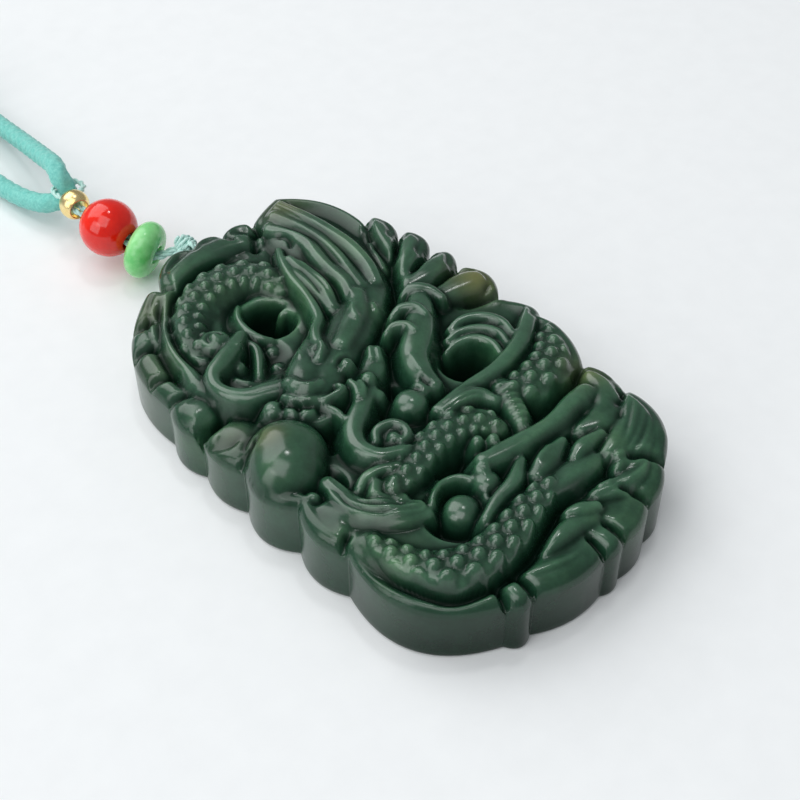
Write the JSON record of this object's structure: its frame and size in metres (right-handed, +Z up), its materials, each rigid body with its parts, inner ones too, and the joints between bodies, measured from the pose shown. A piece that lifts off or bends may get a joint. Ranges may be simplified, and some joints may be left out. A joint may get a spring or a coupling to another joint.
{
  "type": "jade pendant",
  "caption": "Rectangular dark green jade pendant with a coiled dragon carved in high relief, hung by beads on a thread from a braided teal neck cord, its spare length wound into a tied coil.",
  "frame": {"origin": "middle of the jade plaque's flat back, on the surface it lies on", "axes": "+Z up out of the carved face, +Y towards the plaque's cord end, +X to the right of the carved face"},
  "size_m": [0.0518, 0.1339, 0.0102],
  "materials": {
    "jade": "polished waxy dark green nephrite",
    "red_stone": "glossy red carnelian",
    "green_stone": "glossy bright green stone",
    "gilt": "polished gold-plated metal",
    "thread": "pale twisted nylon thread",
    "braid": "teal braided nylon cord"
  },
  "bodies": {
    "root": {"jade_plaque": "jade", "green_bead": "green_stone", "red_bead": "red_stone", "gold_bead": "gilt", "thread_loop": "thread", "neck_cord_upper": "braid", "neck_cord_lower": "braid", "neck_cord_coil": "braid", "coil_tie_1": "thread", "coil_tie_2": "thread"}
  },
  "joints": []
}
